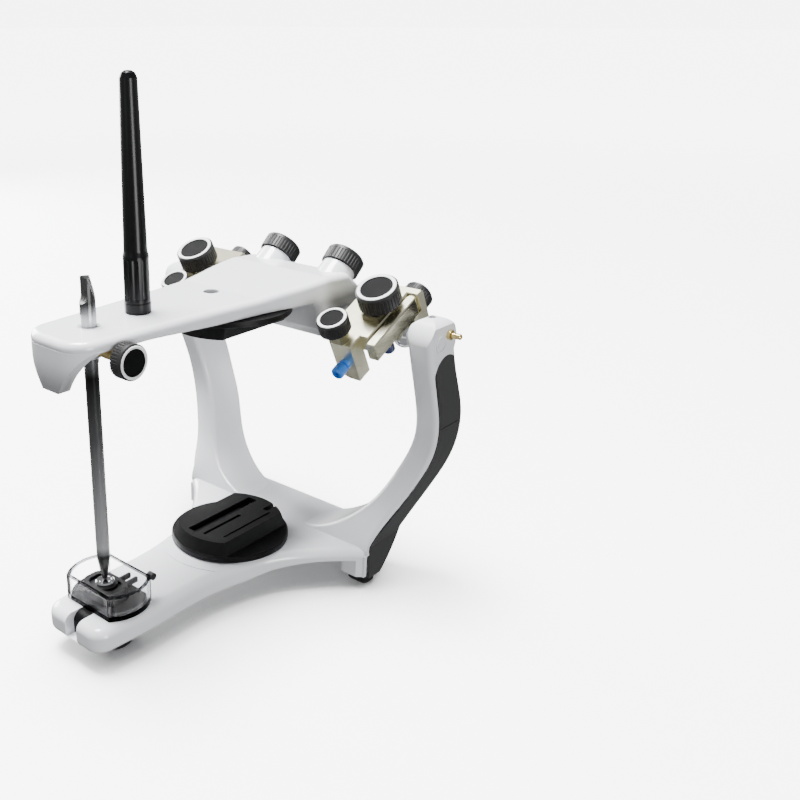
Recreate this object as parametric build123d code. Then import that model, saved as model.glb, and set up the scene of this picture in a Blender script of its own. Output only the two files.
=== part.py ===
from build123d import *
import os
from math import cos, radians, sin

# Semi-adjustable dental articulator. +X is the right post, -Y the front, +Z up.
# Everything is laid out about the condyle axis (y = 0) and moved back by axis_y when written,
# so that the finished model stands centred on the origin with its feet at z = 0.

# ---- driving dimensions (mm) ----
condyle_half_span = 55.0        # standard 110 mm between the condyle balls
axis_height = 109.0             # condyle axis above the bench
axis_y = 49.5                   # condyle axis behind the middle of the object
guide_angle = 27.0              # condylar inclination as set
lock_angle = 42.0               # tilt of the rear lock knobs
running_gap = 0.05              # radial clearance of a turning or sliding fit
part_gap = 0.3                  # gap between pieces that move past each other

# lower frame
foot_height = 6.0               # under each rear foot
base_top = 18.5
base_bottom = 8.6               # underside of the nose
wing_bottom = 13.6              # underside of the wings
base_nose_y = -123.7
foot_x = 51.0                   # outer face of each rear foot
seat_floor = 15.6               # floor of the recess that takes each post's toe
sole_z = 4.0                    # where the drawn outlines of post and cover stop, below everything
feet_bolt = [(25.5, -1.0), (34.5, 1.0)]     # screws from below into each post's toe
bolt_radius = 2.0
magnet_radius = 10.0            # behind each mounting plate
magnet_height = 4.0
slot_width = 6.5
slot_floor = 9.8
slot_rear_y = -98.0
cover_thickness = 1.3
cover_split = 72.0
foot_lip = 0.3                  # how far the white edge of each foot stands behind the cover's face
foot_lip_y = -10.6              # rear of that white edge
head_outer_x = 70.8
cap_radius = 3.4                # round cap on the stem's outer end
peg_y = 5.3
peg_z = 111.7
peg_radius = 1.1
peg_depth = 4.0
grub_x = 65.3
grub_y = 1.5
grub_radius = 1.5

# mounting plates
plate_y = -39.0
plate_radius = 24.5
lower_plate_z = 19.0
upper_plate_z = 119.2
plate_flange = 2.4
plate_height = 7.6
disc_radius = 11.0              # steel disc that the magnet holds
disc_height = 1.4

# condyles
ball_radius = 4.5
stem_radius = 2.0
head_inner_x = 60.3
head_top = 119.0

# upper frame
frame_top = 126.0
frame_bottom = 120.0
nose_bottom = 121.0             # underside of the arm's thinner front
frame_front_y = -124.0
crossbar_half = 26.0
crossbar_bottom = 103.5
collar_radius = 7.2
axle_radius = 4.0

# incisal pin and its clamp
pin_y = -106.6
pin_radius = 2.7
pin_lower_radius = 2.45
pin_top = 142.6
pin_flat_turn = -102.0          # direction the milled flat on the pin's head faces, in plan
pin_flat_offset = 1.0           # from the pin's axis
pin_flat_foot = 136.8           # height where the flat runs out in a curve
pin_flat_runout = 3.3
pin_bevel_turn = 43.0           # direction the sloping cut faces, in plan
pin_bevel_foot = 135.5
pin_bevel_angle = 15.7
pin_tip_top = 38.5
pin_point = 27.75
clamp_z = 118.2
bush_radius = 3.9
bush_bottom = 115.2
clamp_radius = 1.6
clamp_knob_x = 17.3
clamp_knob_height = 5.0

# support rod
rod_y = -84.8
rod_top = 205.7
rod_base_radius = 4.7
rod_tip_radius = 3.0
rod_spigot = 3.0

# incisal table
cup_half_width = 16.0
cup_flat_half = 11.8            # half length of its straight front and rear walls
cup_front_y = -115.3
cup_rear_y = -94.4
cup_bottom = 18.6
cup_top = 28.8
cup_wall = 1.3
floor_plate_top = 21.4          # dark plate in the bottom of the cup
insert_top = 26.4               # pedestal under the pin
anvil_radius = 3.6

# condylar housings, in their own frame: x across, s along the guide, t away from it
housing_inner_x = 34.0
plate_edge_x = 52.2
wing_inner_x = 53.0
wing_outer_x = 57.0
housing_top_t = 12.0
roof_t = 5.0
block_front_s = -23.2
block_rear_s = -16.6
block_inner_x = 39.2
block_outer_x = 48.6
block_bottom_t = -4.8
rear_wall_s = 5.2
housing_rear_s = 14.0
wing_front_s = -19.6
wing_pivot_x = 55.0
wing_pivot_s = 8.0
bennett_x = 47.7
bennett_t = 15.0
shift_x = 41.5
shift_s = -20.4
shift_t = 16.8
centric_x = 47.0
centric_s = 19.2
wing_pin_radius = 1.25
blue_x = 44.0                   # adjusting screw in the front of the housing
blue_t = 2.8
blue_depth_s = -18.5
navy_x = 46.2                   # adjusting screw below the housing
navy_s = -1.0
navy_t = -3.0
thread_radius = 1.5
blue_length = 6.4

lean = radians(guide_angle)
guide_plane = Plane(origin=(0, 0, axis_height), x_dir=(1, 0, 0), z_dir=(0, -sin(lean), cos(lean)))


# ---- helpers ----
def save(node, shape):
    export_step(Pos(0, axis_y, 0) * shape, "parts/" + node + ".step")


def save_pair(name, shape):
    save("right_" + name, shape)
    save("left_" + name, mirror(shape, Plane.YZ))


def both_sides(shape):
    return Compound([shape, mirror(shape, Plane.YZ)])


def block(x0, x1, y0, y1, z0, z1):
    return Pos((x0 + x1) / 2, (y0 + y1) / 2, (z0 + z1) / 2) * Box(x1 - x0, y1 - y0, z1 - z0)


def post_z(radius, x, y, z0, z1):
    return Pos(x, y, (z0 + z1) / 2) * Cylinder(radius, z1 - z0)


def bar_x(radius, x0, x1, y, z):
    return Pos((x0 + x1) / 2, y, z) * Rot(0, 90, 0) * Cylinder(radius, x1 - x0)


def bar_y(radius, x, y0, y1, z):
    return Pos(x, (y0 + y1) / 2, z) * Rot(90, 0, 0) * Cylinder(radius, y1 - y0)


def turned(points):
    """Solid of revolution about Z from (radius, height) points."""
    outline = Polyline(*[(r, 0, z) for r, z in points], close=True)
    return revolve(make_face(outline), Axis.Z)


def vertical_edges(shape):
    return shape.edges().filter_by(Axis.Z)


# ---- knobs: ridged body on +Z, its shank below, and a white ring let into the face ----
def knob_body(radius, height, ring_out, ring_in, shank_radius, shank_length):
    ridges = 36
    groove = 0.045 * radius
    rim_height = 1.5
    outline = Circle(radius) - PolarLocations(radius + 0.25 * groove, ridges) * Circle(groove)
    grip = extrude(outline, height - rim_height)
    rim = Pos(0, 0, height - rim_height) * extrude(Circle(radius), rim_height)
    rim = chamfer(rim.edges().group_by(Axis.Z)[-1], 0.5)
    seat = Pos(0, 0, height - 0.7) * extrude(Circle(ring_out) - Circle(ring_in), 1)
    shank = Pos(0, 0, -shank_length) * extrude(Circle(shank_radius), shank_length + 0.5)
    return grip + rim - seat + shank


def knob_ring(height, ring_out, ring_in):
    ring = Pos(0, 0, height - 0.7) * extrude(Circle(ring_out) - Circle(ring_in), 0.9)
    return chamfer(ring.edges().group_by(Axis.Z)[-1], 0.2)


# ---- lower frame ----
front_edge = [(-11.5, 18), (-8.5, 26), (-2.5, 35), (2.2, 45), (5.6, 58), (5.0, 70), (0.8, 84), (-3.5, 97), (-7.0, 109)]
back_edge = [(-1.0, 4), (5.2, 10), (11.3, 18.5), (13.8, 23), (19.8, 36), (24.2, 50), (25, 62), (23, 76), (18, 88), (13, 100), (10.8, 109)]
inner_edge = [(10, 18.2), (22, 19.6), (33.5, 25), (44.3, 35), (52.1, 50), (57.6, 65), (59.8, 80), (head_inner_x, head_top)]
outer_edge = [(foot_x, 19), (55.3, 30), (61.4, 44), (67.0, 59), (69.8, 76), (70.6, 92), (head_outer_x, head_top)]


def side_band():
    """The post's outline seen from the side, as a solid across the right half."""
    leading = Plane.YZ * Spline(*front_edge)
    trailing = Plane.YZ * Spline(*back_edge)
    crown = ThreePointArc(leading @ 1, (0, 1.9, 118.4), trailing @ 1)
    sole = Polyline(leading @ 0, (0, -8.6, sole_z), trailing @ 0)
    return extrude(make_face([leading, trailing, crown, sole]), 80, dir=(1, 0, 0))


def lyre(inset):
    """The right post's outline seen from the front, its outer edge drawn in by inset."""
    inner = Plane.XZ * Spline(*inner_edge)
    outer = Plane.XZ * Spline(*[(x - inset, z) for x, z in outer_edge])
    crown = Line(inner @ 1, outer @ 1)
    sole = Polyline(inner @ 0, (10, 0, sole_z), (foot_x - inset, 0, sole_z), outer @ 0)
    return extrude(make_face([inner, outer, crown, sole]), 60, both=True)


def seam_wedge():
    """Everything beyond the slanting seam where the right post's toe meets the base."""
    corners = [(21, 12), (14, -5), (10, -14.7), (80, -14.7), (80, 40), (32.5, 40)]
    return Pos(0, 0, seat_floor) * extrude(make_face(Polyline(*corners, close=True)), 120)


def head_dome():
    """Rounds the head's top from side to side."""
    inner = (head_inner_x - 1.2, 0, 111.5)
    outer = (head_outer_x + 1.2, 0, 111.5)
    arch = ThreePointArc(inner, ((head_inner_x + head_outer_x) / 2, 0, 118.3), outer)
    sides = Polyline(outer, (90, 0, 111.5), (90, 0, 0), (0, 0, 0), (0, 0, 111.5), inner)
    return extrude(make_face([arch, sides]), 60, both=True)


def right_blade():
    blade = lyre(0) & side_band()
    blade = blade - block(0, 100, -60, 60, 0, seat_floor)
    blade = blade & seam_wedge()
    rims = blade.edges().filter_by(lambda e: e.length > 45)
    return fillet(rims, 2.2) & head_dome()


def cover_zone():
    """Space of the dark outer cover: everything outside the drawn-in post, below the arch."""
    leading = Plane.YZ * Spline(*[(y + 1.5, z) for y, z in front_edge[:-1]])
    arch_end = (0, 13.6, 96.5)
    arch = ThreePointArc(leading @ 1, (0, 5.4, 103.6), arch_end)
    rest = Polyline(arch_end, (0, 40, 96.5), (0, 40, 3), (0, -7.8, 3), leading @ 0)
    side = extrude(make_face([leading, arch, rest]), 80, dir=(1, 0, 0))
    return side - lyre(cover_thickness)


def rear_slope():
    """Everything in front of the sloping back of the base."""
    trailing = Plane.YZ * Spline(*back_edge)
    rest = Polyline(trailing @ 1, (0, -140, 109), (0, -140, sole_z), trailing @ 0)
    return extrude(make_face([trailing, rest]), 80, both=True, dir=(1, 0, 0))


def base_plan():
    """Half of the base seen from above: long nose, then a wing out to the foot."""
    corner = 6.5
    nose_half = 15.8
    flank = Spline((16.8, -104), (17.0, -88), (17.2, -73), (19.6, -57), (26, -39), (34, -27.8), (42.5, -18.6),
                   (foot_x - cover_thickness, -12.4))
    nose = Line((0, base_nose_y), (nose_half - corner, base_nose_y))
    shoulder = RadiusArc(nose @ 1, (nose_half, base_nose_y + corner), -corner)
    cheek = Line(shoulder @ 1, flank @ 0)
    rest = Polyline(flank @ 1, (foot_x - cover_thickness, 30), (0, 30), (0, base_nose_y))
    return make_face([nose, shoulder, cheek, flank, rest])


def underside():
    """Space under the base: shallow below the nose, arched up between the rear feet."""
    arch = [(-140, base_bottom), (-58, base_bottom), (-50, 10.2), (-40, 12.0), (-28, 13.3), (-16, wing_bottom),
            (40, wing_bottom), (40, 0), (-140, 0)]
    profile = make_face(Polyline(*[(0, y, z) for y, z in arch], close=True))
    space = extrude(profile, 60, both=True, dir=(1, 0, 0))
    foot_inner = 39.0
    for side in (-1, 1):
        foot = block(*sorted((side * foot_inner, side * 60)), -14, 40, 0, 30)
        space = space - fillet(vertical_edges(foot), 2.5)
    return space


def base_slab():
    half = Pos(0, 0, foot_height) * extrude(base_plan(), base_top - foot_height)
    slab = (half + mirror(half, Plane.YZ)) & rear_slope()
    top_rim = slab.edges().group_by(Axis.Z)[-1].filter_by(lambda e: e.center().Y < -20)
    slab = fillet(top_rim, 3.5) - underside()
    low_rim = slab.edges().filter_by(lambda e: e.center().Z < base_bottom + 0.1 and e.center().Y < -62)
    return fillet(low_rim.filter_by(lambda e: abs(e.center().X) > 8 or e.center().Y < base_nose_y + 1), 2.6)


def table_slot():
    slot = block(-slot_width / 2, slot_width / 2, base_nose_y - 5, slot_rear_y, slot_floor, base_top + 1)
    return fillet(vertical_edges(slot).group_by(Axis.Y)[-1], 3)


def seat_line():
    """Fine joint line in the top of the base, round the front of the lower plate."""
    outer = plate_radius + 6.0
    ring = Circle(outer) - Circle(outer - 0.5)
    groove = Pos(0, plate_y, base_top - 0.4) * extrude(ring, 2)
    return groove & block(-40, 40, -90, plate_y - 8, 0, 40)


def foot_edge():
    """White front edge of the right foot, in front of the end of the dark cover."""
    return block(foot_x - cover_thickness - 1.0, foot_x - foot_lip, -12.35, foot_lip_y, foot_height, seat_floor)


def lower_base(blade):
    shape = base_slab() + both_sides(foot_edge()) - both_sides(blade)
    shape = shape - table_slot() - seat_line()
    shape = shape - post_z(magnet_radius, 0, plate_y, base_top - magnet_height, base_top + 1)
    for x, y in feet_bolt:
        for side in (-1, 1):
            shape = shape - post_z(bolt_radius, side * x, y, 0, 30)
    return shape


def post_screws():
    """Socket screws from below that hold the posts down on the base."""
    screws = []
    for x, y in feet_bolt:
        head = post_z(3.4, x, y, wing_bottom - 3.0, wing_bottom)
        socket = Pos(x, y, wing_bottom - 3.2) * extrude(RegularPolygon(1.4, 6), 1.8)
        shank = post_z(bolt_radius, x, y, wing_bottom, seat_floor + 4)
        screws += [head + shank - socket, mirror(head + shank - socket, Plane.YZ)]
    return Compound(screws)


def right_post(blade):
    shape = blade - cover_zone()
    for x, y in feet_bolt:
        shape = shape - post_z(bolt_radius, x, y, 0, seat_floor + 4)
    shape = shape - bar_x(stem_radius, head_inner_x - 2, head_inner_x + 6, 0, axis_height)
    shape = shape - bar_x(cap_radius, head_outer_x - 0.9, head_outer_x + 3, 0, axis_height)
    shape = shape - bar_x(peg_radius, head_outer_x - peg_depth, head_outer_x + 3, peg_y, peg_z)
    return shape - post_z(grub_radius, grub_x, grub_y, 112, 120)


def outer_cover(blade):
    """Dark cover of the post's outer face, carried down over the end of the base."""
    zone = cover_zone()
    foot_cap = block(foot_x - cover_thickness, foot_x, foot_lip_y + 0.1, 20, sole_z, seat_floor)
    foot_cap = foot_cap & rear_slope() & side_band()
    return (blade & zone) + foot_cap


def rear_feet():
    pad = block(39.4, 49.4, -9.0, -1.5, 0, foot_height)
    pad = fillet(vertical_edges(pad), 2.5)
    return chamfer(pad.edges().group_by(Axis.Z)[0], 1.0)


def rubber_feet():
    front = chamfer(post_z(8.0, 0, -104.5, 0, base_bottom).edges().group_by(Axis.Z)[0], 1.0)
    return Compound([front, rear_feet(), mirror(rear_feet(), Plane.YZ)])


def stem_caps():
    cap = bar_x(cap_radius, head_outer_x - 0.9, head_outer_x + 0.4, 0, axis_height)
    ring = bar_x(2.6, head_outer_x, head_outer_x + 1, 0, axis_height)
    core = bar_x(2.0, head_outer_x - 0.5, head_outer_x + 0.25, 0, axis_height)
    return both_sides(cap - ring + core)


def ear_bow_pegs():
    pin = bar_x(peg_radius, head_outer_x - peg_depth, head_outer_x + 5.2, peg_y, peg_z)
    pin = chamfer(pin.edges().group_by(Axis.X)[-1], 0.4)
    flange = bar_x(1.9, head_outer_x, head_outer_x + 1.2, peg_y, peg_z)
    return both_sides(pin + flange)


def head_grub_screws():
    screw = post_z(grub_radius, grub_x, grub_y, 112, 116.8)
    hexagon = Pos(grub_x, grub_y, 115.3) * extrude(RegularPolygon(0.8, 6), 3)
    return both_sides(screw - hexagon)


def condyle_stems():
    inner_end = condyle_half_span - 3.5
    stem = bar_x(stem_radius, inner_end, head_inner_x + 6, 0, axis_height)
    stem = chamfer(stem.edges().group_by(Axis.X)[0], 0.4)
    shoulder = bar_x(3.0, condyle_half_span + ball_radius + part_gap, head_inner_x - 0.3, 0, axis_height)
    return both_sides(stem + shoulder)


def condyle_balls():
    ball = Pos(condyle_half_span, 0, axis_height) * Sphere(ball_radius)
    bore = bar_x(stem_radius + running_gap, condyle_half_span - 4.0, condyle_half_span + 8, 0, axis_height)
    return both_sides(ball - bore)


# ---- mounting plates: flange down, cast side up ----
def mounting_plate():
    """Round flange with a raised band along Y that keys the plaster, bottom at z = 0."""
    band_half = 15.5
    flange = extrude(Circle(plate_radius), plate_flange)
    flange = chamfer(flange.edges().group_by(Axis.Z)[-1], 0.5)
    band_plan = Circle(plate_radius - 0.6) & Rectangle(2 * band_half, 60)
    band = Pos(0, 0, plate_flange - 0.5) * extrude(band_plan, plate_height - plate_flange + 0.5, taper=20)
    plate = flange + band
    plate = plate - block(-6.0, -1.5, -18.5, 18.5, plate_height - 2.4, plate_height + 1)
    plate = plate - block(1.4, 2.8, -17.5, 4.0, plate_height - 1.3, plate_height + 1)
    plate = plate - block(-5.4, -2.1, 12.0, 17.5, 1.6, plate_height)
    plate = plate - block(5.5, 8.0, 14.5, 30.0, plate_height - 3.0, plate_height + 1)
    plate = plate - block(9.4, 10.4, -14.0, 14.0, plate_height - 0.6, plate_height + 1)
    return plate - extrude(Circle(disc_radius), disc_height)


def plate_disc():
    return extrude(Circle(disc_radius) - Circle(2.0), disc_height)


# ---- incisal table ----
def cup_plan(inset):
    half = cup_half_width - inset
    y0 = cup_front_y + inset
    y1 = cup_rear_y - inset
    straight = cup_flat_half - inset * 0.7
    left = ThreePointArc((-straight, y0), (-half, (y0 + y1) / 2), (-straight, y1))
    right = ThreePointArc((straight, y1), (half, (y0 + y1) / 2), (straight, y0))
    return make_face([Line((straight, y0), (-straight, y0)), left, Line((-straight, y1), (straight, y1)), right])


def table_cup():
    outer = Pos(0, 0, cup_bottom) * extrude(cup_plan(0), cup_top - cup_bottom)
    inner = Pos(0, 0, cup_bottom + cup_wall) * extrude(cup_plan(cup_wall), 20)
    cup = outer - inner
    return chamfer(cup.edges().group_by(Axis.Z)[-1], 0.25)


def table_insert():
    """Dark floor plate with a dished pedestal under the pin and two ribs back to the cup's rear wall."""
    floor_z = cup_bottom + cup_wall
    floor = Pos(0, 0, floor_z) * extrude(cup_plan(cup_wall + 0.2), floor_plate_top - floor_z)
    pedestal = Pos(0, pin_y, floor_z) * extrude(RectangleRounded(18, 12, 4.5), insert_top - floor_z, taper=4)
    dish = Pos(0, pin_y, insert_top - 1.4) * extrude(RectangleRounded(13, 8, 3), 2)
    boss = post_z(anvil_radius + 1, 0, pin_y, floor_plate_top, insert_top - 0.2)
    body = floor + (pedestal - dish) + boss
    rear = cup_rear_y - cup_wall - 0.3
    for x in (1.2, 5.2):
        body = body + block(x, x + 1, pin_y + 5, rear, insert_top - 2, insert_top)
    return body - post_z(anvil_radius, 0, pin_y, insert_top - 2.0, 40)


def table_anvil():
    """Steel rest for the pin, its dished top just under the pin's point."""
    top = pin_point - 0.1
    body = post_z(anvil_radius, 0, pin_y, insert_top - 2.0, top)
    body = chamfer(body.edges().group_by(Axis.Z)[-1], 0.5)
    groove = Pos(0, pin_y, top - 0.3) * extrude(Circle(2.5) - Circle(2.0), 1)
    return body - groove


def table_slide_block():
    """Tongue in the nose's slot: it carries the cup and shows at the front, just behind the nose."""
    half = slot_width / 2 - running_gap
    front_y = base_nose_y + 4.0
    body = block(-half, half, front_y, slot_rear_y - 6.5, slot_floor + 0.1, base_top - 0.2)
    body = fillet(vertical_edges(body).group_by(Axis.Y)[-1], 2.8)
    front_top = body.edges().filter_by(Axis.X).group_by(Axis.Y)[0].group_by(Axis.Z)[-1]
    body = fillet(front_top, 4.0)
    return body + block(-half, half, cup_front_y + 1, slot_rear_y - 10, base_top - 1, cup_bottom)


def table_lock_nub():
    nub_radius = 1.4
    y = cup_rear_y + nub_radius + 0.05
    return bar_x(nub_radius, cup_flat_half - 2.6, cup_flat_half, y, cup_top - nub_radius)


# ---- upper frame ----
def frame_plan():
    half_nose = 15.3
    corner = 10.0
    flank = Spline((half_nose, frame_front_y + corner), (16.9, -90), (20.3, -50), (22.2, -36), (25.2, -20),
                   (crossbar_half, -10))
    nose = Line((0, frame_front_y), (half_nose - corner, frame_front_y))
    shoulder = RadiusArc((half_nose - corner, frame_front_y), (half_nose, frame_front_y + corner), -corner)
    rest = Polyline((crossbar_half, -10), (crossbar_half, 20), (0, 20), (0, frame_front_y))
    return make_face([nose, shoulder, flank, rest])


def frame_side():
    """Arm and crossbar seen from the side: flat arm, low hump, crossbar hanging at the rear."""
    outline = [
        (-130, nose_bottom), (-130, frame_top), (-44, frame_top), (-10, 128.4), (3, 127.6), (10.5, 121.5),
        (12.5, 113), (9.5, crossbar_bottom), (-9, crossbar_bottom), (-13.5, 108), (-16, frame_bottom - 1.0),
        (-40, frame_bottom - 0.6), (-64, frame_bottom - 0.4), (-92, nose_bottom),
    ]
    wire = FilletPolyline(*[(0, y, z) for y, z in outline], radius=2.5, close=True)
    return extrude(make_face(wire), 40, both=True, dir=(1, 0, 0))


def front_skirt():
    """Apron that hangs from the arm's front edge and follows its rounded corners."""
    thickness = 4.8
    foot_half = 4.2
    top_half = 15.4
    foot_z = 107.6
    top_z = 122.5
    left = ThreePointArc((-foot_half, 0, foot_z), (-8.4, 0, 114.2), (-top_half, 0, top_z))
    right = ThreePointArc((top_half, 0, top_z), (8.4, 0, 114.2), (foot_half, 0, foot_z))
    head = Line(left @ 1, right @ 0)
    face = make_face([left, head, right, Line(right @ 1, left @ 0)])
    outline = Pos(0, frame_front_y - 1, 0) * extrude(face, 11.5, dir=(0, 1, 0))
    half = Pos(0, 0, foot_z - 1) * extrude(frame_plan(), top_z - foot_z + 2)
    arm = half + mirror(half, Plane.YZ)
    return outline & (arm - Pos(0, thickness, 0) * arm)


def lock_plane(side):
    tilt = radians(lock_angle)
    return Plane(origin=(side * 16.5, 8.6, 127.2), x_dir=(1, 0, 0), z_dir=(0, cos(tilt), sin(tilt)))


def lock_boss(side):
    cone = Pos(0, 0, -7.3) * Cone(8.6, 7.0, 14.0)
    return lock_plane(side).location * cone


def upper_frame():
    half = Pos(0, 0, 100) * extrude(frame_plan(), 40)
    body = (half + mirror(half, Plane.YZ)) & frame_side()
    rim = body.edges().filter_by(lambda e: e.center().Z > 119 and e.center().Y < -12 and e.length > 5)
    rim = rim.filter_by(lambda e: abs(e.center().X) > 8 or e.center().Y < frame_front_y + 1)
    body = fillet(rim.filter_by(lambda e: e.center().Z > 124), 2.4)
    body = body + front_skirt() + lock_boss(1) + lock_boss(-1)
    body = body - post_z(bush_radius, 0, pin_y, 110, 130) - post_z(rod_spigot + running_gap, 0, rod_y, 110, 130)
    body = body - post_z(3.0, 0, -48.4, frame_top - 2.2, 130)
    body = body - post_z(magnet_radius, 0, plate_y, 110, upper_plate_z + magnet_height)
    body = body - post_z(plate_radius + 0.6, 0, plate_y, 110, upper_plate_z + 0.1)
    for side in (-1, 1):
        body = body - lock_plane(side).location * (Pos(0, 0, -16) * extrude(Circle(2.5 + running_gap), 20))
        body = body - bar_x(axle_radius + running_gap, *sorted((side * 12, side * 30)), 0, axis_height)
    return body


def pin_bush():
    sleeve = post_z(bush_radius, 0, pin_y, bush_bottom, frame_top - 0.1)
    sleeve = chamfer(sleeve.edges().group_by(Axis.Z)[0], 0.4)
    sleeve = sleeve - post_z(pin_radius + running_gap, 0, pin_y, 100, 130)
    return sleeve - bar_x(clamp_radius + running_gap, 1.0, 8.0, pin_y, clamp_z)


def pin_head_cuts():
    """Space taken off the pin's head: a milled flat with a curved foot, and a sloping cut beside it."""
    flat = block(pin_flat_offset, pin_flat_offset + 8, -5, 5, pin_flat_foot, pin_top + 5)
    runout = Pos(pin_flat_offset + pin_flat_runout, 0, pin_flat_foot) * Rot(90, 0, 0) * Cylinder(pin_flat_runout, 10)
    bevel = Pos(pin_radius, 0, pin_bevel_foot) * Rot(0, -pin_bevel_angle, 0) * block(0, 8, -5, 5, 0, 15)
    return Pos(0, pin_y, 0) * (Rot(0, 0, pin_flat_turn) * (flat + runout) + Rot(0, 0, pin_bevel_turn) * bevel)


def incisal_pin():
    upper = post_z(pin_radius, 0, pin_y, 113.0, pin_top)
    lower = post_z(pin_lower_radius, 0, pin_y, pin_tip_top, 113.0)
    foot = post_z(1.5, 0, pin_y, pin_tip_top - 3, pin_tip_top)
    return fillet(upper.edges().group_by(Axis.Z)[0], 0.2) + lower - pin_head_cuts() + foot


def pin_tip():
    cone = turned([(0, pin_point), (0.7, pin_point + 0.15), (1.1, pin_point + 0.9),
                   (pin_lower_radius, pin_tip_top - 1.2), (pin_lower_radius, pin_tip_top), (0, pin_tip_top)])
    socket = post_z(1.5, 0, 0, pin_tip_top - 3, pin_tip_top + 1)
    return Pos(0, pin_y, 0) * (cone - socket)


clamp_plane = Plane(origin=(clamp_knob_x, pin_y, clamp_z), x_dir=(0, 1, 0), z_dir=(1, 0, 0))


def pin_clamp_screw():
    shank = bar_x(clamp_radius, pin_radius + part_gap, clamp_knob_x + 0.7, pin_y, clamp_z)
    collar = bar_x(1.7, 8.5, 11.0, pin_y, clamp_z)
    return shank + collar


def pin_clamp_knob():
    knob = clamp_plane.location * knob_body(6.2, clamp_knob_height, 5.7, 4.7, 1.7, 1.0)
    return knob - bar_x(clamp_radius, 10, clamp_knob_x + 0.7, pin_y, clamp_z)


def support_rod():
    grip_top = 146.0
    profile = [
        (0, frame_top - 5.0), (rod_spigot, frame_top - 5.0), (rod_spigot, frame_top + 0.1),
        (rod_base_radius - 0.3, frame_top + 0.1), (rod_base_radius, frame_top + 0.5), (rod_base_radius, 129.6),
        (rod_base_radius - 0.15, 129.9), (rod_base_radius - 0.2, grip_top), (4.1, grip_top + 1.6),
        (4.0, 152), (rod_tip_radius, rod_top - 2.4), (2.3, rod_top - 0.8), (1.2, rod_top - 0.15), (0, rod_top),
    ]
    rod = turned(profile)
    flute_plan = Sketch() + PolarLocations(rod_base_radius + 1.7, 8) * Circle(2.3)
    flute = Pos(0, 0, 131) * extrude(flute_plan, 14)
    return Pos(0, rod_y, 0) * (rod - flute)


# ---- condylar housings (right side, in the guide frame: X across, Y = s, Z = t) ----
def housing():
    plate = [(block_inner_x, block_front_s), (block_outer_x, block_front_s), (block_outer_x, block_rear_s),
             (plate_edge_x, block_rear_s), (plate_edge_x, housing_rear_s), (housing_inner_x, housing_rear_s),
             (housing_inner_x, -7), (37.2, -15)]
    roof = Pos(0, 0, roof_t + 0.5) * extrude(make_face(Polyline(*plate, close=True)), housing_top_t - roof_t - 0.5)
    front = block(block_inner_x, block_outer_x, block_front_s, block_rear_s, block_bottom_t, 8)
    round_edge = front.edges().filter_by(Axis.Y).group_by(Axis.X)[0].group_by(Axis.Z)[0]
    front = fillet(round_edge, 5.5)
    side_wall = block(housing_inner_x, 38.0, -8, housing_rear_s, -7.5, 8)
    side_wall = fillet(side_wall.edges().filter_by(Axis.X).group_by(Axis.Z)[0], 4)
    guide_wall = block(44.5, 49.4, -4.0, rear_wall_s + 1, -3.0, 8)
    rear = block(housing_inner_x, plate_edge_x, rear_wall_s, housing_rear_s, -6.0, 8)
    pivot_seat = block(plate_edge_x - 1, wing_outer_x, rear_wall_s, housing_rear_s, -2.0, roof_t - 0.4)
    outer_rear = block(plate_edge_x - 1, wing_outer_x, wing_pivot_s + 2.4, housing_rear_s, 0, housing_top_t)
    boss = post_z(4.4, shift_x, shift_s, housing_top_t - 1, shift_t - part_gap)
    boss = boss & block(block_inner_x, block_outer_x, block_front_s, 0, 0, 30)
    collar = bar_y(4.9, centric_x, housing_rear_s - 1, centric_s - part_gap, 0)
    body = roof + front + side_wall + guide_wall + rear + pivot_seat + outer_rear
    top = body.edges().group_by(Axis.Z)[-1]
    body = chamfer(top, 0.5)
    body = body + boss + collar
    body = body - post_z(2.5 + running_gap, bennett_x, 0, 6.5, 20)
    body = body - post_z(1.9 + running_gap, shift_x, shift_s, 6.5, 20)
    body = body - bar_y(2.0 + running_gap, centric_x, 7.5, 30, 0)
    body = body - post_z(wing_pin_radius + running_gap, wing_pivot_x, wing_pivot_s, -1, 6)
    body = body - bar_y(thread_radius, blue_x, -30, blue_depth_s, blue_t)
    return body - post_z(thread_radius, navy_x, navy_s, -10, 1.5)


def housing_stem():
    """Flanged stem that turns in the end of the crossbar."""
    collar = bar_x(collar_radius, crossbar_half + part_gap, housing_inner_x, 0, 0)
    collar = chamfer(collar.edges().group_by(Axis.X)[0], 0.5)
    axle = bar_x(axle_radius, 12.5, crossbar_half + 1, 0, 0)
    return collar + chamfer(axle.edges().group_by(Axis.X)[0], 0.6)


def clamp_plate():
    plate = block(44.6, plate_edge_x - 0.4, -8.4, 4.6, housing_top_t, bennett_t - part_gap)
    plate = chamfer(plate.edges().group_by(Axis.Z)[-1], 0.4)
    return plate - post_z(2.5 + running_gap, bennett_x, 0, 0, 30)


def wing():
    """Side-shift wing: flat bar with a rounded heel that turns on its pin."""
    bar = block(wing_inner_x, wing_outer_x, wing_front_s, wing_pivot_s, roof_t, housing_top_t)
    heel = post_z((wing_outer_x - wing_inner_x) / 2, wing_pivot_x, wing_pivot_s, roof_t, housing_top_t)
    bar = bar + heel
    bar = chamfer(bar.edges().group_by(Axis.Z)[-1], 0.5)
    return bar + post_z(wing_pin_radius, wing_pivot_x, wing_pivot_s, -0.6, roof_t + 1)


def blue_screw(length):
    """Small finger screw on +Z with a collar, waist and hexagonal cap."""
    head = turned([(0, 0), (2.2, 0), (2.2, 1.2), (1.5, 1.6), (1.5, 2.0), (2.5, 2.5), (2.5, length - 0.6),
                   (2.0, length), (0, length)])
    hexagon = Pos(0, 0, length - 1.2) * extrude(RegularPolygon(1.2, 6), 3)
    return head - hexagon


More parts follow.
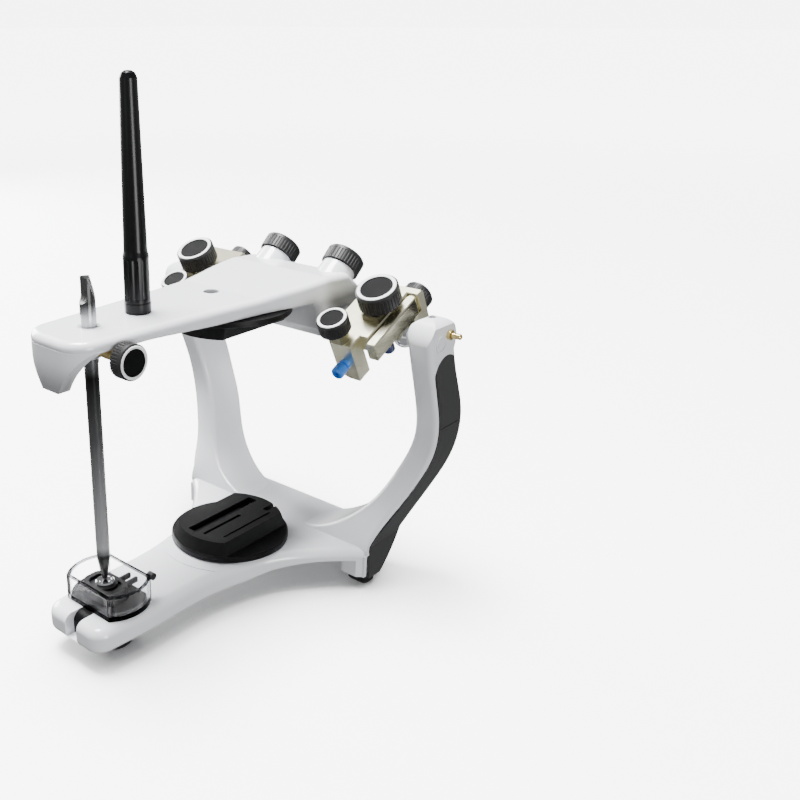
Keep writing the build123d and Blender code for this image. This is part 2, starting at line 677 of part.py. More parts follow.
def blue_screws():
    front = Pos(blue_x, block_front_s, blue_t) * Rot(90, 0, 0) * blue_screw(blue_length)
    front = front + bar_y(thread_radius, blue_x, block_front_s, blue_depth_s, blue_t)
    under = Pos(navy_x, navy_s, navy_t) * Rot(180, 0, 0) * blue_screw(blue_length)
    under = under + post_z(thread_radius, navy_x, navy_s, navy_t, 1.5)
    return Compound([front, under])


def on_guide(shape):
    return guide_plane.location * shape


def save_knob(name, seat, radius, height, ring_out, ring_in, shank_radius, shank_length):
    save_pair(name + "_knob", seat * knob_body(radius, height, ring_out, ring_in, shank_radius, shank_length))
    save_pair(name + "_ring", seat * knob_ring(height, ring_out, ring_in))


# ---- write every node ----
os.makedirs("parts", exist_ok=True)

blade = right_blade()
save("lower_base", lower_base(blade))
save_pair("post", right_post(blade))
cover = outer_cover(blade)
save_pair("cover_upper", cover & block(40, 80, -40, 60, cover_split + 0.15, 110))
save_pair("cover_lower", cover & block(40, 80, -40, 60, 0, cover_split - 0.15))
save("rubber_feet", rubber_feet())
save("condyle_stems", condyle_stems())
save("stem_caps", stem_caps())
save("ear_bow_pegs", ear_bow_pegs())
save("head_grub_screws", head_grub_screws())
save("post_screws", post_screws())
save("lower_magnet", post_z(magnet_radius, 0, plate_y, base_top - magnet_height, base_top - 0.1))

plate = mounting_plate()
save("lower_mounting_plate", Pos(0, plate_y, lower_plate_z) * plate)
save("lower_plate_disc", Pos(0, plate_y, lower_plate_z) * plate_disc())
save("upper_mounting_plate", Pos(0, plate_y, upper_plate_z) * mirror(plate, Plane.XY))
save("upper_plate_disc", Pos(0, plate_y, upper_plate_z) * mirror(plate_disc(), Plane.XY))

save("table_slide_block", table_slide_block())
save("table_cup", table_cup())
save("table_insert", table_insert())
save("table_anvil", table_anvil())
save("table_lock_nub", table_lock_nub())

save("condyle_balls", condyle_balls())
save("upper_frame", upper_frame())
save("upper_plate_screw", post_z(3.0, 0, -48.4, frame_top - 2.2, frame_top - 0.5))
save("upper_magnet", post_z(magnet_radius, 0, plate_y, upper_plate_z + 0.2, upper_plate_z + magnet_height))
save("pin_bush", pin_bush())
save("support_rod", support_rod())
save("incisal_pin", incisal_pin())
save("pin_tip", pin_tip())
save("pin_clamp_screw", pin_clamp_screw())
save("pin_clamp_knob", pin_clamp_knob())
save("pin_clamp_ring", clamp_plane.location * knob_ring(clamp_knob_height, 5.7, 4.7))
save_knob("lock", lock_plane(1).location, 8.0, 6.4, 7.4, 6.1, 2.5, 15.0)

save_pair("housing", on_guide(housing()))
save_pair("housing_stem", on_guide(housing_stem()))
save_pair("clamp_plate", on_guide(clamp_plate()))
save_pair("wing", on_guide(wing()))
save_pair("blue_screws", on_guide(blue_screws()))
save_knob("bennett", on_guide(Pos(bennett_x, 0, bennett_t)), 8.2, 7.0, 7.5, 6.2, 2.5, 7.5)
save_knob("shift", on_guide(Pos(shift_x, shift_s, shift_t)), 6.0, 5.6, 5.6, 4.5, 1.9, 9.5)
save_knob("centric", on_guide(Pos(centric_x, centric_s, 0) * Rot(-90, 0, 0)), 6.0, 4.7, 5.4, 4.3, 2.0, 11.0)
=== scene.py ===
import bpy
import bmesh
from math import cos, radians, sin, tau
from mathutils import Matrix, Vector


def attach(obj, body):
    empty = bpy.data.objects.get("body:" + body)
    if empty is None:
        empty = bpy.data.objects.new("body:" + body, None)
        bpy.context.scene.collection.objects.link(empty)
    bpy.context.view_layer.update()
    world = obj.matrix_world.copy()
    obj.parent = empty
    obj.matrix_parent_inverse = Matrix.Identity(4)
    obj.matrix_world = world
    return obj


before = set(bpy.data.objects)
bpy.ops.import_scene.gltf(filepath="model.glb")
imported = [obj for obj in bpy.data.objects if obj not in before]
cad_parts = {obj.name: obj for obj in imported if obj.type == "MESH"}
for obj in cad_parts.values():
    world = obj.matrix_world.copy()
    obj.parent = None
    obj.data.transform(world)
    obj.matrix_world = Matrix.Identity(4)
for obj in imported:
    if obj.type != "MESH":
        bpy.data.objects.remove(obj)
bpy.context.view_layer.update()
print("frame loaded:", len(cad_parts), "nodes")

mm = 0.001
guideTilt = radians(27.0)              # set condylar inclination
lockTilt = radians(42.0)               # lean of the two rear lock knobs
condyleAxis = Vector((0, 49.5, 109.0)) * mm
alongGuide = Vector((0, cos(guideTilt), sin(guideTilt)))
offGuide = Vector((0, -sin(guideTilt), cos(guideTilt)))
lockAxis = Vector((0, cos(lockTilt), sin(lockTilt)))


def onGuide(x, s, t):                  # a place in the housing's own directions
    return condyleAxis + Vector((x, 0, 0)) * mm + (alongGuide * s + offGuide * t) * mm


class Wire:                            # a socket that can be added, multiplied and divided
    def __init__(self, tree, socket=None):
        self.tree = tree
        self.socket = socket

    def add(self, kind, settings=None, inputs=None, output=0):
        made = self.tree.nodes.new(kind)
        for name, value in (settings or {}).items():
            if name == "stops":
                ramp = made.color_ramp
                while len(ramp.elements) > 1:
                    ramp.elements.remove(ramp.elements[-1])
                ramp.elements[0].position = value[0][0]
                ramp.elements[0].color = value[0][1]
                for place, colour in value[1:]:
                    ramp.elements.new(place).color = colour
            else:
                setattr(made, name, value)
        for name, value in (inputs or {}).items():
            if isinstance(value, Wire):
                self.tree.links.new(value.socket, made.inputs[name])
            else:
                made.inputs[name].default_value = value
        return Wire(self.tree, made.outputs[output])

    def maths(self, operation, *values):
        return self.add("ShaderNodeMath", {"operation": operation}, dict(enumerate(values)))

    def __add__(self, other):
        return self.maths("ADD", self, other)

    def __radd__(self, other):
        return self.maths("ADD", other, self)

    def __sub__(self, other):
        return self.maths("SUBTRACT", self, other)

    def __rsub__(self, other):
        return self.maths("SUBTRACT", other, self)

    def __mul__(self, other):
        return self.maths("MULTIPLY", self, other)

    def __rmul__(self, other):
        return self.maths("MULTIPLY", other, self)

    def __truediv__(self, other):
        return self.maths("DIVIDE", self, other)

    def least(self, other):
        return self.maths("MINIMUM", self, other)

    def most(self, other):
        return self.maths("MAXIMUM", self, other)

    def size(self):                    # without its sign
        return self.maths("ABSOLUTE", self)

    def wave(self, pitch):             # -1 to 1, once every pitch
        return self.maths("SINE", self * (tau / pitch))

    def rise(self, low, high, start=0.0, end=1.0):      # smooth step from low to high
        ends = {"Value": self, "From Min": low, "From Max": high, "To Min": start, "To Max": end}
        return self.add("ShaderNodeMapRange", {"interpolation_type": "SMOOTHSTEP"}, ends)

    def place(self):
        return self.add("ShaderNodeTexCoord", output="Object")

    def along(self, direction, origin=(0, 0, 0)):       # distance from origin in a direction
        offset = self.add("ShaderNodeVectorMath", {"operation": "SUBTRACT"}, {0: self, 1: tuple(origin)})
        ends = {0: offset, 1: tuple(direction)}
        return self.add("ShaderNodeVectorMath", {"operation": "DOT_PRODUCT"}, ends, "Value")

    def stretched(self, turn=(0, 0, 0), scale=(1, 1, 1)):
        return self.add("ShaderNodeMapping", None, {"Vector": self, "Rotation": turn, "Scale": scale})

    def noise(self, scale, detail=2.0, roughness=0.5):
        return self.add("ShaderNodeTexNoise", None,
                        {"Vector": self, "Scale": scale, "Detail": detail, "Roughness": roughness})

    def blend(self, first, second):    # this value picks between two colours
        return self.add("ShaderNodeMix", {"data_type": "RGBA"}, {0: self, 6: first, 7: second}, 2)

    def shade(self, colour, low, high):                 # a colour made darker and lighter by this value
        dark = tuple(channel * low for channel in colour[:3]) + (1,)
        light = tuple(min(1.0, channel * high) for channel in colour[:3]) + (1,)
        return self.blend(dark, light)

    def bumped(self, depth, strength=1.0):
        return self.add("ShaderNodeBump", None, {"Height": self, "Distance": depth, "Strength": strength})


def finish(name, build):
    material = bpy.data.materials.new(name)
    material.use_nodes = True
    tree = material.node_tree
    shader = tree.nodes["Principled BSDF"]
    for socket, value in build(Wire(tree)).items():
        if isinstance(value, Wire):
            tree.links.new(value.socket, shader.inputs[socket])
        else:
            shader.inputs[socket].default_value = value
    return material


paint = {"colour": (0.775, 0.79, 0.82), "peelSize": 1500, "peelDepth": 0.004 * mm, "gloss": 0.20}


def powderCoat(w):                     # white gloss coat over cast aluminium
    at = w.place()
    cloud = at.noise(28, 3)
    peel = at.noise(paint["peelSize"], 2, 0.6)
    speck = at.noise(5200, 1).rise(0.70, 0.76)
    tint = (0.75 * cloud + 0.25 * peel).shade(paint["colour"], 0.965, 1.02)
    return {
        "Base Color": (speck * 0.25).blend(tint, (0.55, 0.56, 0.58, 1)),
        "Roughness": paint["gloss"] + 0.10 * cloud,
        "Coat Weight": 0.6,
        "Coat Roughness": 0.06,
        "Normal": peel.bumped(paint["peelDepth"], 0.5),
    }


paintedFrameShade = {                         # where the painted shade begins and where it is full, in mm
    "colour": (0.10, 0.10, 0.105, 1),
    "crossbar": {"depth": (20, 46), "across": (12, 27), "height": (124.5, 118), "strength": 0.92},
    "apron": {"depth": (-67, -72), "height": (121, 108), "strength": 0.80},
}


def frameCoatPaintedShade(w):                      # the same coat, with painted shade greying the crossbar's ends and down the apron
    look = powderCoat(w)
    at = w.place()
    ways = {
        "height": at.along((0, 0, 1)),
        "depth": at.along((0, 1, 0)),
        "across": at.along((1, 0, 0)).size(),
    }

    def full(area, way):
        begins, ends = paintedFrameShade[area][way]
        return ways[way].rise(begins * mm, ends * mm)

    # painted shade: grey laid under the lock knobs at the crossbar's ends and down the apron's front
    crossbar = full("crossbar", "depth") * full("crossbar", "across") * full("crossbar", "height")
    apron = full("apron", "depth") * full("apron", "height")
    grey = (paintedFrameShade["crossbar"]["strength"] * crossbar).most(paintedFrameShade["apron"]["strength"] * apron)
    look["Base Color"] = grey.blend(look["Base Color"], paintedFrameShade["colour"])
    return look


coverTrim = {"border": 1.25 * mm, "setback": 1.5 * mm,
             "satin": (0.020, 0.0203, 0.021), "gloss": (0.002, 0.002, 0.0025)}
postEdges = {                          # height and depth from the condyle axis, in mm
    "front": [(18, -11.5), (26, -8.5), (35, -2.5), (45, 2.2), (58, 5.6), (70, 5.0), (84, 0.8), (97, -3.5),
              (109, -7.0)],
    "back": [(4, -1.0), (10, 5.2), (18.5, 11.3), (23, 13.8), (36, 19.8), (50, 24.2), (62, 25.0), (76, 23.0),
             (88, 18.0), (100, 13.0), (109, 10.8)],
}
rampHeight = 120                       # mm of height that a ramp covers from end to end
rampDepth = {"start": -20, "span": 60}  # mm of depth that black stands for, and from black to white


def edgeCurve(height, points):         # depth of the post's edge line at a height, carried as a ramp's grey
    stops = []
    for z, y in points:
        grey = (y - rampDepth["start"]) / rampDepth["span"]
        stops.append((z / rampHeight, (grey, grey, grey, 1)))
    ramp = height.add("ShaderNodeValToRGB", {"stops": stops}, {0: height / (rampHeight * mm)})
    return (ramp * rampDepth["span"] + rampDepth["start"]) * mm + condyleAxis.y


def coverPlastic(w):                   # satin panel with a polished border
    at = w.place()
    height = at.along((0, 0, 1))
    depth = at.along((0, 1, 0))
    fromFront = depth - edgeCurve(height, postEdges["front"]) - coverTrim["setback"]
    fromBack = edgeCurve(height, postEdges["back"]) - depth
    inside = fromFront.least(fromBack).rise(coverTrim["border"] * 0.8, coverTrim["border"] * 1.2)
    grain = at.noise(2600, 3, 0.6)
    satin = grain.shade(coverTrim["satin"], 0.85, 1.15)
    return {
        "Base Color": inside.blend(coverTrim["gloss"] + (1,), satin),
        "Roughness": inside * (0.34 + 0.08 * grain) + 0.10,
        "Coat Weight": 0.3 - 0.3 * inside,
        "Normal": (grain * inside).bumped(0.012 * mm, 0.5),
    }


def plateMoulding(w):                  # matt black glass-filled plastic
    at = w.place()
    grain = at.noise(3000, 4, 0.65)
    flow = at.stretched(scale=(60, 260, 60)).noise(1, 3)
    rubbed = at.noise(240, 4, 0.7).rise(0.55, 0.8)
    return {
        "Base Color": (0.6 * grain + 0.4 * rubbed).shade((0.0025, 0.0025, 0.0028), 0.6, 1.6),
        "Roughness": 0.34 + 0.14 * grain + 0.06 * flow,
        "Specular IOR Level": 0.16,
        "Normal": grain.bumped(0.02 * mm, 0.5),
    }


def knobPlastic(w):
    at = w.place()
    grain = at.noise(3600, 3, 0.6)
    dust = at.noise(420, 4, 0.7).rise(0.55, 0.85)
    return {
        "Base Color": (0.5 * grain + 0.5 * dust).shade((0.012, 0.012, 0.0125), 0.6, 1.7),
        "Roughness": 0.34 + 0.14 * grain,
        "Specular IOR Level": 0.35,
        "Normal": grain.bumped(0.014 * mm, 0.5),
    }


def knobFace(w):                       # turned satin disc, fine rings about its middle
    radius = w.add("ShaderNodeAttribute", {"attribute_name": "fromCentre"}, output="Fac")
    at = w.place()
    rings = radius.wave(0.16 * mm)
    grain = at.noise(2400, 2)
    return {
        "Base Color": (0.5 * grain + 0.25 + 0.12 * rings).shade((0.0042, 0.0043, 0.0046), 0.75, 1.3),
        "Roughness": 0.44 + 0.05 * rings + 0.06 * grain,
        "Specular IOR Level": 0.05,
        "Normal": rings.bumped(0.004 * mm, 0.6),
    }


def ringEnamel(w):
    at = w.place()
    grain = at.noise(1800, 2)
    return {
        "Base Color": grain.shade((0.86, 0.87, 0.87), 0.94, 1.03),
        "Roughness": 0.18 + 0.12 * grain,
        "Coat Weight": 0.4,
        "Normal": grain.bumped(0.004 * mm, 0.4),
    }


nickel = {
    "colour": (0.83, 0.80, 0.60), "brush": 5200, "grain": 160,
    "boss": (0.30, 0.28, 0.19), "bossFoot": (12.05, 12.15),
    "paintedSideShade": (0.085, 0.080, 0.055), "shadedFace": (56.80, 56.98), "shadeRun": (-17, 3),
}                                      # in mm: bossFoot off the guide; the painted shade's outer face across, and its run along the guide


def brushing(w):                       # fine brush marks along the guide
    turn = (-guideTilt, 0, 0)
    return w.place().stretched(turn, (nickel["brush"], nickel["grain"], nickel["brush"])).noise(1, 3, 0.6)


def champagneNickel(w):                # satin plate brushed along the guide, darker above its top face: the boss's own tone with painted shade from the knobs over it
    at = w.place()
    brushed = brushing(w)
    cloud = at.noise(60, 3)
    bossLow, bossHigh = nickel["bossFoot"]
    # the boss under the knobs: partly its own darker tone, partly painted shade cast by the knobs
    boss = at.along(offGuide, condyleAxis).rise(bossLow * mm, bossHigh * mm)
    plated = (0.5 * brushed + 0.5 * cloud).shade(nickel["colour"], 0.93, 1.04)
    return {
        "Base Color": boss.blend(plated, nickel["boss"] + (1,)),
        "Metallic": 1.0,
        "Roughness": 0.22 + 0.10 * brushed + 0.05 * cloud,
        "Normal": brushed.bumped(0.003 * mm, 0.5),
    }


def wingNickelPaintedShade(w):                     # the same plate, with painted shade on its outer side towards the heel
    at = w.place()
    brushed = brushing(w)
    faceIn, faceOut = nickel["shadedFace"]
    runStart, runEnd = nickel["shadeRun"]
    side = at.along((1, 0, 0)).size().rise(faceIn * mm, faceOut * mm)
    # painted shade darkening the outer face towards the heel
    paintedSideShade = side * at.along(alongGuide, condyleAxis).rise(runStart * mm, runEnd * mm)
    plated = brushed.shade(nickel["colour"], 0.93, 1.04)
    return {
        "Base Color": paintedSideShade.blend(plated, nickel["paintedSideShade"] + (1,)),
        "Metallic": 1.0,
        "Roughness": 0.22 + 0.12 * brushed,
        "Normal": brushed.bumped(0.003 * mm, 0.5),
    }


def polishedSteel(w):
    at = w.place()
    turned = at.stretched(scale=(7000, 120, 120)).noise(1, 2)
    haze = at.noise(160, 3)
    return {
        "Base Color": haze.shade((0.76, 0.77, 0.79), 0.93, 1.03),
        "Metallic": 1.0,
        "Roughness": 0.07 + 0.07 * turned + 0.05 * haze,
        "Normal": turned.bumped(0.002 * mm, 0.4),
    }


pinReflectionTones = [(27, 0.02), (38, 0.05), (42, 0.70), (60, 0.48), (85, 0.14), (108, 0.003), (122, 0.45),
            (129, 0.50), (134, 0.05), (143, 0.05)]     # height in mm, grey of the painted reflections
pinRampHeight = 150


def pinMetalPaintedReflection(w):                       # painted reflections along the pin: light just above the arm, black under it, grey towards the point
    at = w.place()
    height = at.along((0, 0, 1))
    stops = [(z / pinRampHeight, (grey, grey * 1.01, grey * 1.04, 1)) for z, grey in pinReflectionTones]
    # painted reflection: a ramp by height stands in for the bright and dark surroundings the pin mirrors
    tone = w.add("ShaderNodeValToRGB", {"stops": stops}, {0: height / (pinRampHeight * mm)})
    drawn = at.stretched(scale=(6500, 6500, 90)).noise(1, 2)
    streak = 0.55 + 0.45 * drawn
    return {
        "Base Color": streak.blend((0, 0, 0, 1), tone),
        "Metallic": 0.7,
        "Roughness": 0.20 + 0.10 * drawn,
        "Normal": drawn.bumped(0.003 * mm, 0.4),
    }


def pointBlack(w):
    at = w.place()
    grain = at.noise(3000, 3)
    return {
        "Base Color": grain.shade((0.0040, 0.0040, 0.0045), 0.6, 1.5),
        "Specular IOR Level": 0.3,
        "Roughness": 0.26 + 0.12 * grain,
        "Normal": grain.bumped(0.004 * mm, 0.4),
    }


clampThread = {"pitch": 0.5 * mm, "depth": 0.09 * mm}


def threadedBrass(w):                  # fine thread along the clamp screw, worn bright on its crests
    at = w.place()
    thread = at.along((1, 0, 0)).wave(clampThread["pitch"])
    crest = thread.rise(0.1, 0.9)
    tarnish = at.noise(700, 4, 0.7)
    return {
        "Base Color": (0.5 * crest + 0.5 * tarnish).blend((0.42, 0.31, 0.11, 1), (0.88, 0.71, 0.32, 1)),
        "Metallic": 1.0,
        "Roughness": 0.32 - 0.14 * crest + 0.10 * tarnish,
        "Normal": thread.bumped(clampThread["depth"], 0.6),
    }


def plainBrass(w):
    at = w.place()
    tarnish = at.noise(900, 4, 0.7)
    return {
        "Base Color": tarnish.blend((0.55, 0.42, 0.16, 1), (0.90, 0.74, 0.34, 1)),
        "Metallic": 1.0,
        "Roughness": 0.16 + 0.12 * tarnish,
        "Normal": tarnish.bumped(0.004 * mm, 0.4),
    }


def anodisedBlue(w):                   # bright blue in front, navy below
    at = w.place()
    grain = at.noise(2600, 3)
    behind = at.along((0, 1, 0)).rise(38 * mm, 42 * mm)
    bright = grain.shade((0.03, 0.22, 0.80), 0.8, 1.15)
    return {
        "Base Color": behind.blend(bright, (0.012, 0.030, 0.15, 1)),
        "Metallic": 0.2,
        "Roughness": 0.12 + 0.08 * grain,
        "Coat Weight": 0.8,
        "Normal": grain.bumped(0.004 * mm, 0.4),
    }


def footRubber(w):
    at = w.place()
    grain = at.noise(2200, 4, 0.7)
    dust = at.noise(300, 3).rise(0.5, 0.8)
    return {
        "Base Color": (0.5 * grain + 0.5 * dust).shade((0.0035, 0.0035, 0.0036), 0.6, 1.9),
        "Specular IOR Level": 0.2,
        "Roughness": 0.55 + 0.20 * grain,
        "Normal": grain.bumped(0.03 * mm, 0.6),
    }


cup = {                                # where the darker edges begin and where they are full, in mm
    "rim": (28.0, 28.2), "sole": (19.2, 19.0), "cornerIn": (11.3, 11.6), "cornerOut": (12.1, 11.8),
}


def clearAcrylic(w):                   # clear wall, darker at its sawn rims, corners and sole
    at = w.place()
    height = at.along((0, 0, 1))
    across = at.along((1, 0, 0)).size()

    def edge(way, name):
        begins, ends = cup[name]
        return way.rise(begins * mm, ends * mm)

    corner = edge(across, "cornerIn") * edge(across, "cornerOut")
    ripple = at.noise(140, 2)
    darkEdges = edge(height, "rim").most(corner).most(edge(height, "sole") * 0.7)
    return {
        "Base Color": darkEdges.blend((0.97, 0.975, 0.98, 1), (0.05, 0.05, 0.055, 1)),
        "Roughness": 0.015 + 0.03 * ripple,
        "IOR": 1.16,
        "Transmission Weight": 1.0,
        "Normal": ripple.bumped(0.01 * mm, 0.2),
    }


def insertPlastic(w):
    at = w.place()
    grain = at.noise(2600, 3, 0.6)
    return {
        "Base Color": grain.shade((0.0105, 0.0107, 0.0115), 0.75, 1.25),
        "Specular IOR Level": 0.22,
        "Roughness": 0.40 + 0.14 * grain,
        "Normal": grain.bumped(0.012 * mm, 0.5),
    }


def screwSteel(w):
    at = w.place()
    grain = at.noise(1600, 3, 0.6)
    return {
        "Base Color": grain.shade((0.22, 0.225, 0.24), 0.8, 1.2),
        "Metallic": 1.0,
        "Roughness": 0.30 + 0.15 * grain,
        "Normal": grain.bumped(0.006 * mm, 0.5),
    }


def magnetNickel(w):
    at = w.place()
    grain = at.noise(900, 3, 0.6)
    return {
        "Base Color": grain.shade((0.62, 0.61, 0.60), 0.9, 1.08),
        "Metallic": 1.0,
        "Roughness": 0.18 + 0.14 * grain,
        "Normal": grain.bumped(0.005 * mm, 0.4),
    }


def rodLacquer(w):                     # polished black rod
    at = w.place()
    haze = at.noise(90, 3)
    drawn = at.stretched(scale=(3000, 3000, 60)).noise(1, 2)
    return {
        "Base Color": haze.shade((0.0022, 0.0022, 0.0026), 0.7, 1.4),
        "Roughness": 0.24 + 0.08 * haze,
        "Specular IOR Level": 0.16,
        "Coat Weight": 0.06,
        "Coat Roughness": 0.10,
        "Normal": drawn.bumped(0.003 * mm, 0.3),
    }


def bushSteel(w):
    at = w.place()
    turned = at.along((0, 0, 1)).wave(0.22 * mm)
    grain = at.noise(900, 3)
    return {
        "Base Color": grain.shade((0.50, 0.51, 0.53), 0.85, 1.1),
        "Metallic": 0.3,
        "Roughness": 0.30 + 0.06 * turned + 0.08 * grain,
        "Normal": turned.bumped(0.004 * mm, 0.4),
    }


builders = {
    "powderCoat": powderCoat, "frameCoatPaintedShade": frameCoatPaintedShade, "coverPlastic": coverPlastic,
    "plateMoulding": plateMoulding, "knobPlastic": knobPlastic, "knobFace": knobFace,
    "ringEnamel": ringEnamel, "champagneNickel": champagneNickel, "wingNickelPaintedShade": wingNickelPaintedShade,
    "polishedSteel": polishedSteel, "pinMetalPaintedReflection": pinMetalPaintedReflection, "pointBlack": pointBlack,
    "threadedBrass": threadedBrass, "plainBrass": plainBrass, "anodisedBlue": anodisedBlue,
    "footRubber": footRubber, "clearAcrylic": clearAcrylic, "insertPlastic": insertPlastic,
    "screwSteel": screwSteel, "magnetNickel": magnetNickel, "rodLacquer": rodLacquer,
    "bushSteel": bushSteel,
}
finishes = {name: finish(name, build) for name, build in builders.items()}
print("finishes made:", len(finishes))

wears = {                              # which finish each CAD piece wears
    "lower_base": "powderCoat", "post": "powderCoat", "upper_frame": "frameCoatPaintedShade",
    "cover_upper": "coverPlastic", "cover_lower": "coverPlastic",
    "rubber_feet": "footRubber", "condyle_stems": "polishedSteel", "stem_caps": "powderCoat",
    "ear_bow_pegs": "plainBrass", "head_grub_screws": "screwSteel", "post_screws": "screwSteel",
    "lower_magnet": "magnetNickel", "upper_magnet": "magnetNickel",
    "lower_mounting_plate": "plateMoulding", "upper_mounting_plate": "plateMoulding",
    "lower_plate_disc": "magnetNickel", "upper_plate_disc": "magnetNickel",
    "table_slide_block": "plateMoulding", "table_cup": "clearAcrylic", "table_insert": "insertPlastic",
    "table_anvil": "polishedSteel", "table_lock_nub": "knobPlastic",
    "condyle_balls": "polishedSteel", "upper_plate_screw": "screwSteel", "pin_bush": "bushSteel",
    "support_rod": "rodLacquer", "incisal_pin": "pinMetalPaintedReflection", "pin_tip": "pointBlack",
    "pin_clamp_screw": "threadedBrass", "pin_clamp_knob": "knobPlastic", "pin_clamp_ring": "ringEnamel",
    "lock_knob": "knobPlastic", "bennett_knob": "knobPlastic", "shift_knob": "knobPlastic",
    "centric_knob": "knobPlastic", "lock_ring": "ringEnamel", "bennett_ring": "ringEnamel",
    "shift_ring": "ringEnamel", "centric_ring": "ringEnamel",
    "housing": "champagneNickel", "housing_stem": "polishedSteel", "clamp_plate": "champagneNickel",
    "wing": "wingNickelPaintedShade", "blue_screws": "anodisedBlue",
}
for name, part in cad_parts.items():
    kind = name.removeprefix("left_").removeprefix("right_")
    part.data.materials.clear()
    part.data.materials.append(finishes[wears[kind]])
print("CAD pieces dressed")


def pieceFrom(name, mesh, material, body):
    data = bpy.data.meshes.new(name)
    mesh.to_mesh(data)
    mesh.free()
    made = bpy.data.objects.new(name, data)
    bpy.context.scene.collection.objects.link(made)
    data.materials.append(finishes[material])
    for polygon in data.polygons:
        polygon.use_smooth = False
    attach(made, body)
    return made


discs = {                              # satin face let into each knob: height above its seat, radius, in mm
    "lock": {"height": 6.4, "radius": 6.1, "body": "lock"},
    "bennett": {"height": 7.0, "radius": 6.2, "body": "bennett_lock"},
    "shift": {"height": 5.6, "radius": 4.5, "body": "shift_lock"},
    "centric": {"height": 4.7, "radius": 4.3, "body": "centric_lock"},
}
discMargin = 0.12                      # mm of play around a face
discThickness = 0.16 * mm
discSeat = 0.05 * mm                   # how far it is sunk into the knob
clampFace = {"middle": Vector((17.3, -57.1, 118.2)) * mm, "height": 5.0, "radius": 4.7}


def seatOf(kind, side):                # middle and direction of a knob's seat; side is -1 or 1
    seats = {
        "lock": (Vector((side * 16.5, 58.1, 127.2)) * mm, lockAxis),
        "bennett": (onGuide(side * 47.7, 0, 15), offGuide),
        "shift": (onGuide(side * 41.5, -20.4, 16.8), offGuide),
        "centric": (onGuide(side * 47.0, 19.2, 0), alongGuide),
    }
    return seats[kind]


def faceDisc(name, middle, direction, height, radius, body):
    mesh = bmesh.new()
    bmesh.ops.create_circle(mesh, cap_ends=True, radius=(radius - discMargin) * mm, segments=96)
    grown = bmesh.ops.extrude_face_region(mesh, geom=mesh.faces[:])
    top = [v for v in grown["geom"] if isinstance(v, bmesh.types.BMVert)]
    bmesh.ops.translate(mesh, vec=(0, 0, discThickness + discSeat), verts=top)
    bmesh.ops.recalc_face_normals(mesh, faces=mesh.faces[:])
    cap = [f for f in mesh.faces if f.normal.z > 0.9]
    bmesh.ops.inset_region(mesh, faces=cap, thickness=0.10 * mm, depth=0.03 * mm)
    bmesh.ops.inset_region(mesh, faces=cap, thickness=0.45 * mm)
    bmesh.ops.inset_region(mesh, faces=cap, thickness=0.08 * mm, depth=-0.07 * mm)
    bmesh.ops.poke(mesh, faces=cap)
    fromCentre = mesh.verts.layers.float.new("fromCentre")
    for vert in mesh.verts:
        vert[fromCentre] = vert.co.xy.length
    turn = direction.to_track_quat("Z", "Y").to_matrix().to_4x4()
    place = Matrix.Translation(middle + direction * (height * mm - discSeat)) @ turn
    bmesh.ops.transform(mesh, matrix=place, verts=mesh.verts[:])
    return pieceFrom(name, mesh, "knobFace", body)


for kind, disc in discs.items():
    for sideName, side in (("left", -1), ("right", 1)):
        middle, direction = seatOf(kind, side)
        faceDisc(f"{sideName}_{kind}_face", middle, direction, disc["height"], disc["radius"],
                 f"{sideName}_{disc['body']}")
faceDisc("pin_clamp_face", clampFace["middle"], Vector((1, 0, 0)), clampFace["height"], clampFace["radius"],
         "pin_clamp")
print("knob faces made")

stageLook = {"floor": (0.80, 0.803, 0.806), "size": 40.0, "glow": 3.4, "farGlow": 1.9, "farRun": (0.25, 2.2),
             "shadowReach": 0.07, "shadowTones": (0.35, 1.0), "strength": 1.0}
skyTones = [                           # sine of height, grey
    (-1.0, 0.34), (-0.50, 0.36), (-0.18, 0.30), (-0.05, 1.05), (0.05, 1.05), (0.18, 0.28), (0.40, 0.22),
    (1.0, 0.40),
]
paperWhite = (6.3, 6.3, 6.3, 1)        # what stands behind the floor's far edge


def studioFloor(w):                    # glows evenly up to the horizon, with a painted contact shadow where the object stands close
    at = w.place()
    cloud = at.noise(6, 3)
    far = at.add("ShaderNodeVectorMath", {"operation": "LENGTH"}, {0: at}, "Value")
    contactShadow = w.add("ShaderNodeAmbientOcclusion", {"samples": 8}, {"Distance": stageLook["shadowReach"]}, "AO")
    runStart, runEnd = stageLook["farRun"]
    darkest, lightest = stageLook["shadowTones"]
    lit = far.rise(runStart, runEnd, stageLook["glow"], stageLook["farGlow"] * stageLook["glow"])
    # painted contact shadow: the glow is dimmed where the object stands close
    glow = lit * contactShadow.rise(darkest, lightest)
    return {
        "Base Color": cloud.shade(stageLook["floor"], 0.99, 1.01),
        "Roughness": 0.75 + 0.1 * cloud,
        "Emission Color": glow,
        "Emission Strength": 1.0,
    }


bpy.ops.mesh.primitive_plane_add(size=stageLook["size"], location=(0, 0, 0))
floor = bpy.context.object
floor.name = "studioFloor"
floor.data.materials.append(finish("studioFloor", studioFloor))
floor.visible_glossy = False           # the blacks stay deep over a white floor
floor.visible_diffuse = False          # and the undersides stay grey

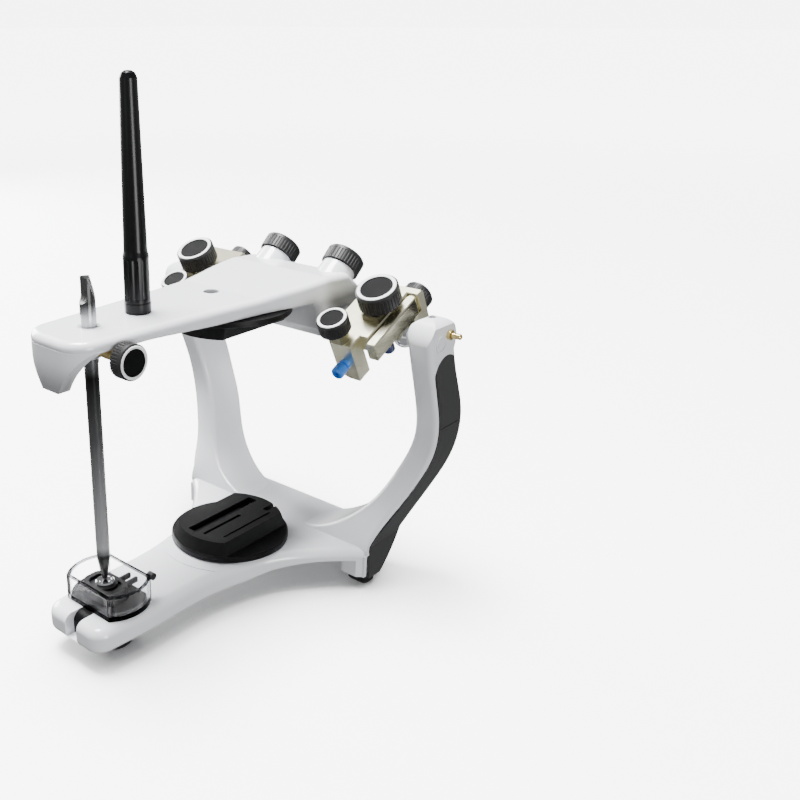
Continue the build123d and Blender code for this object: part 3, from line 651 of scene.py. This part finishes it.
world = bpy.data.worlds.new("softRoom")
bpy.context.scene.world = world
world.use_nodes = True
sky = Wire(world.node_tree).add("ShaderNodeTexCoord", output="Generated").along((0, 0, 1))
skyStops = [((z + 1) / 2, (grey, grey * 1.005, grey * 1.01, 1)) for z, grey in skyTones]
tone = sky.add("ShaderNodeValToRGB", {"stops": skyStops}, {0: sky * 0.5 + 0.5})
seen = Wire(world.node_tree).add("ShaderNodeLightPath", output="Is Camera Ray")
background = world.node_tree.nodes["Background"]
world.node_tree.links.new(seen.blend(tone, paperWhite).socket, background.inputs["Color"])
background.inputs["Strength"].default_value = stageLook["strength"]

lightAim = Vector((0, 0, 0.08))
lights = {                             # place in metres, edge in metres, power in watts
    "topPanel": {"place": (-0.20, -0.05, 1.30), "edge": 0.55, "power": 82.0},
    "leftPanel": {"place": (-1.00, 0.10, 0.40), "edge": 0.6, "power": 25.0},
    "frontPanel": {"place": (0.10, -1.10, 0.30), "edge": 0.4, "power": 0.5},
    "rightPanel": {"place": (0.98, -0.22, 0.08), "edge": 0.4, "power": 9.0},
}
for name, light in lights.items():
    lamp = bpy.data.lights.new(name, "AREA")
    lamp.size = light["edge"]
    lamp.energy = light["power"]
    holder = bpy.data.objects.new(name, lamp)
    holder.location = light["place"]
    holder.rotation_euler = (holder.location - lightAim).to_track_quat("Z", "Y").to_euler()
    bpy.context.scene.collection.objects.link(holder)

view = {                               # degrees and mm; focal length and centre in units of the frame
    "azimuth": 42.87, "elevation": 22.02, "roll": -0.12, "distance": 369.15, "target": (9.79, 5.47, 82.48),
    "frame": 800, "focal": 951.51, "centre": (238.53, 402.55), "sensor": 36.0,
}
turnRound = radians(view["azimuth"])
turnUp = radians(view["elevation"])
back = Vector((sin(turnRound) * cos(turnUp), -cos(turnRound) * cos(turnUp), sin(turnUp)))
right = Vector((cos(turnRound), sin(turnRound), 0))
up = back.cross(right)
roll = radians(view["roll"])
rolledRight = right * cos(roll) + up * sin(roll)
rolledUp = up * cos(roll) - right * sin(roll)
lens = bpy.data.cameras.new("camera")
centreX, centreY = view["centre"]
lens.sensor_width = view["sensor"]
lens.lens = view["focal"] * view["sensor"] / view["frame"]
lens.shift_x = 0.5 - centreX / view["frame"]
lens.shift_y = centreY / view["frame"] - 0.5
lens.clip_start = 0.01
camera = bpy.data.objects.new("camera", lens)
pose = Matrix((rolledRight, rolledUp, back)).transposed().to_4x4()
pose.translation = (Vector(view["target"]) + back * view["distance"]) * mm
camera.matrix_world = pose
bpy.context.scene.collection.objects.link(camera)
bpy.context.scene.camera = camera
print("stage, light and camera set")
